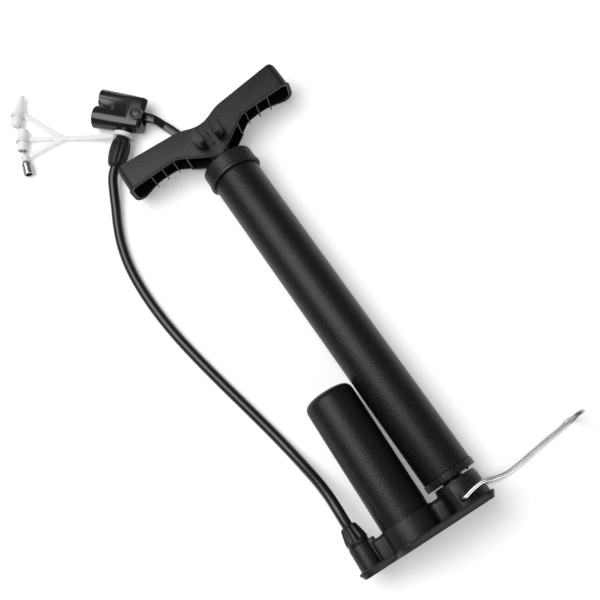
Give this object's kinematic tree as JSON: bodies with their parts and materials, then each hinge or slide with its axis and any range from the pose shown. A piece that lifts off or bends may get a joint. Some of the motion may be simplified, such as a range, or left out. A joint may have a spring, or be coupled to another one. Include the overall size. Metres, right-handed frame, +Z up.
{
  "type": "mini pump",
  "caption": "Bicycle mini floor pump lying on its back: barrel with T-handle, side air tank, folding wire foot, hose with lever valve head, strap with nozzles and a ball needle.",
  "frame": {"origin": "under the middle of the pump without its hose and what hangs on the hose, on the surface it lies on", "axes": "+Z up from the surface; -X from the base to the handle, nearly along the barrel; +Y to the folding wire foot"},
  "size_m": [0.4395, 0.2342, 0.0455],
  "materials": {
    "black_plastic": "satin moulded",
    "head_plastic": "semi-gloss moulded",
    "black_paint": "satin powder coat",
    "hose_rubber": "smooth satin",
    "seal_rubber": "matte",
    "chrome_wire": "bright plated",
    "steel": "ground",
    "brass": "turned",
    "nickel": "nickel plated",
    "soft_white": "translucent soft plastic",
    "white_plastic": "translucent moulded"
  },
  "bodies": {
    "root": {"base": "black_plastic", "tank_shell": "black_paint", "tank_gasket": "seal_rubber", "check_valve_seat": "brass", "base_hose_barb": "black_plastic", "base_hose_nut": "black_plastic", "barrel_tube": "black_paint", "barrel_collar": "black_plastic", "barrel_o_ring": "seal_rubber", "barrel_cap": "black_plastic", "rod_bush": "white_plastic"},
    "piston": {"piston_head": "white_plastic", "piston_cup": "seal_rubber", "piston_washer": "steel"},
    "handle": {"piston_rod": "steel", "piston_nut": "steel", "rod_bumper": "seal_rubber", "handle_shell": "black_plastic", "handle_screw": "steel"},
    "foot_wire": {"foot_wire": "chrome_wire"},
    "check_valve": {"check_valve_poppet": "seal_rubber"},
    "hose": {"hose": "hose_rubber", "head_hose_nut": "black_plastic", "head_neck": "black_plastic", "head_body": "head_plastic", "presta_collar": "head_plastic", "schrader_collar": "head_plastic", "presta_seal": "seal_rubber", "schrader_seal": "seal_rubber", "lever_pin": "head_plastic"},
    "lever": {"head_lever": "head_plastic"},
    "plunger": {"head_plunger": "white_plastic"},
    "carrier": {"accessory_strap": "soft_white", "cone_nozzle": "white_plastic", "straight_nozzle": "white_plastic"},
    "needle": {"ball_needle": "nickel"}
  },
  "joints": [
    {"name": "handle_stroke", "type": "slide", "parent": "root", "child": "piston", "axis": [-0.9994, -0.0332, -0.009], "range_m": [0, 0.225]},
    {"name": "handle_turn", "type": "hinge", "parent": "piston", "child": "handle", "pos_m": [-0.1426, -0.01439, 0.01975], "axis": [-0.9994, -0.0332, -0.009], "continuous": true},
    {"name": "foot_wire_fold", "type": "hinge", "parent": "root", "child": "foot_wire", "pos_m": [0.15771, -0.00671, 0.02245], "axis": [-0.009, 0, 1], "range_deg": [-7.5, 75]},
    {"name": "hose_swing", "type": "hinge", "parent": "root", "child": "hose", "pos_m": [0.0992, -0.0791, 0.015], "axis": [0, 0, 1], "range_deg": [0, 142.5], "deforming": ["hose"]},
    {"name": "lever_throw", "type": "hinge", "parent": "hose", "child": "lever", "pos_m": [-0.19992, -0.04946, 0.0088], "axis": [0, 0, 1], "range_deg": [0, 70]},
    {"name": "plunger_slide", "type": "slide", "parent": "hose", "child": "plunger", "axis": [0.7071, 0.7071, 0], "range_m": [0, 0.0018]},
    {"name": "carrier_turn", "type": "hinge", "parent": "hose", "child": "carrier", "pos_m": [-0.2065, -0.05392, 0.0088], "axis": [0.7071, -0.7071, 0], "range_deg": [-90, 90]},
    {"name": "needle_pull", "type": "slide", "parent": "carrier", "child": "needle", "axis": [0.9581, -0.2863, 0], "range_m": [0, 0.03]},
    {"name": "check_valve_lift", "type": "slide", "parent": "root", "child": "check_valve", "axis": [1, 0, 0.009], "range_m": [0, 0.0015]}
  ],
  "couplings": [
    {"joint": "hose_swing", "follows": "handle_stroke", "rad_per_m": 11},
    {"joint": "plunger_slide", "follows": "lever_throw", "m_per_rad": 0.00147}
  ]
}
